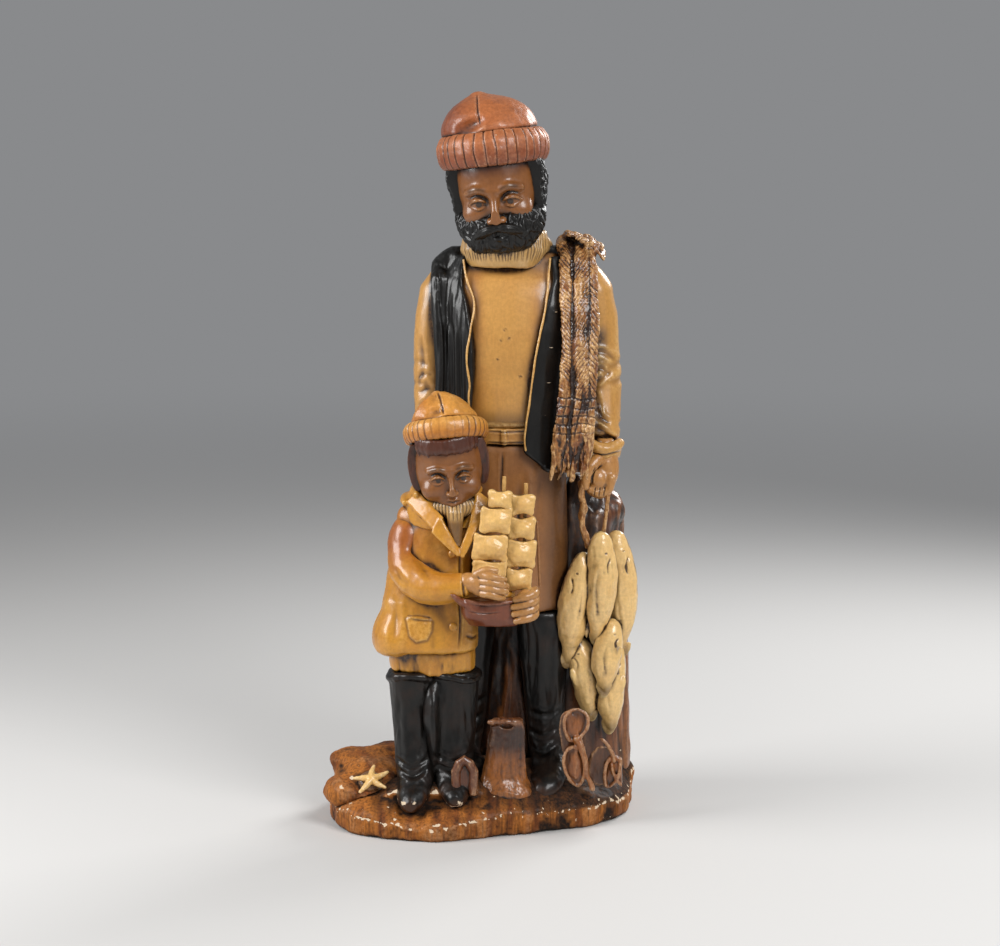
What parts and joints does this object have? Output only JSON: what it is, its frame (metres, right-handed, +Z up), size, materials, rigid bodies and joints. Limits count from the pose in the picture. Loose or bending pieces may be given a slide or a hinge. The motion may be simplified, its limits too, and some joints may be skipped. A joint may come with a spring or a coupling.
{
  "type": "fisherman and boy statuette",
  "caption": "Free-standing painted statuette of a bearded fisherman with a net and a string of fish, and a boy holding a toy sailing ship, on a rocky base.",
  "frame": {"origin": "on the flat underside of the base, below the middle of the group", "axes": "+Z up, the figures look along -Y, and +X is towards the man's left hand with the fish"},
  "size_m": [0.1837, 0.1395, 0.4306],
  "materials": {
    "bark_paint": "dark brown paint, satin",
    "black_gloss": "black gloss enamel",
    "fish_paint": "cream paint with brown wash, satin",
    "ground_paint": "brown paint with dry-brushed streaks, satin",
    "hair_paint": "dark red-brown paint, satin",
    "hull_paint": "dark red-brown paint, semi-gloss",
    "knit_paint": "tan paint with brown wash, satin",
    "ochre_paint": "ochre yellow paint with brown wash, semi-gloss",
    "rope_paint": "brown paint, matt",
    "rust_paint": "rust red-brown paint, satin",
    "sail_paint": "cream paint with brown wash, satin",
    "skin_paint": "brown flesh paint, semi-gloss",
    "trouser_paint": "brown paint with wash, satin"
  },
  "bodies": {
    "root": {"base": "ground_paint", "boy_boot_left": "black_gloss", "boy_boot_right": "black_gloss", "boy_cap_crown": "ochre_paint", "boy_cap_cuff": "ochre_paint", "boy_coat": "ochre_paint", "boy_coat_collar": "ochre_paint", "boy_hair": "hair_paint", "boy_hand_left": "skin_paint", "boy_hand_right": "skin_paint", "boy_head": "skin_paint", "boy_knit_neck": "knit_paint", "boy_sleeve_left": "ochre_paint", "boy_sleeve_right": "ochre_paint", "boy_trousers": "ochre_paint", "driftwood_stub": "bark_paint", "fish_cord": "rope_paint", "fish_front": "fish_paint", "fish_left": "fish_paint", "fish_lower_left": "fish_paint", "fish_lower_right": "fish_paint", "fish_middle": "fish_paint", "fish_right": "fish_paint", "kelp_curl": "bark_paint", "kelp_heart": "bark_paint", "kelp_tall": "bark_paint", "man_beard": "black_gloss", "man_belt": "knit_paint", "man_boot_left": "black_gloss", "man_boot_right": "black_gloss", "man_cap_crown": "rust_paint", "man_cap_cuff": "rust_paint", "man_collar": "knit_paint", "man_cuff_left": "knit_paint", "man_hair": "black_gloss", "man_hand_left": "skin_paint", "man_hand_right": "skin_paint", "man_head": "skin_paint", "man_sleeve_left": "knit_paint", "man_sleeve_right": "knit_paint", "man_sweater": "knit_paint", "man_trousers": "trouser_paint", "man_vest": "black_gloss", "net_fold_inner": "rope_paint", "net_fold_middle": "rope_paint", "net_fold_outer": "rope_paint", "rock_mound": "ground_paint", "sail_fore_1": "sail_paint", "sail_fore_2": "sail_paint", "sail_fore_3": "sail_paint", "sail_fore_4": "sail_paint", "sail_main_1": "sail_paint", "sail_main_2": "sail_paint", "sail_main_3": "sail_paint", "sail_main_4": "sail_paint", "ship_hull": "hull_paint", "ship_mast_fore": "hull_paint", "ship_mast_main": "hull_paint", "starfish": "fish_paint", "stump": "bark_paint"}
  },
  "joints": []
}
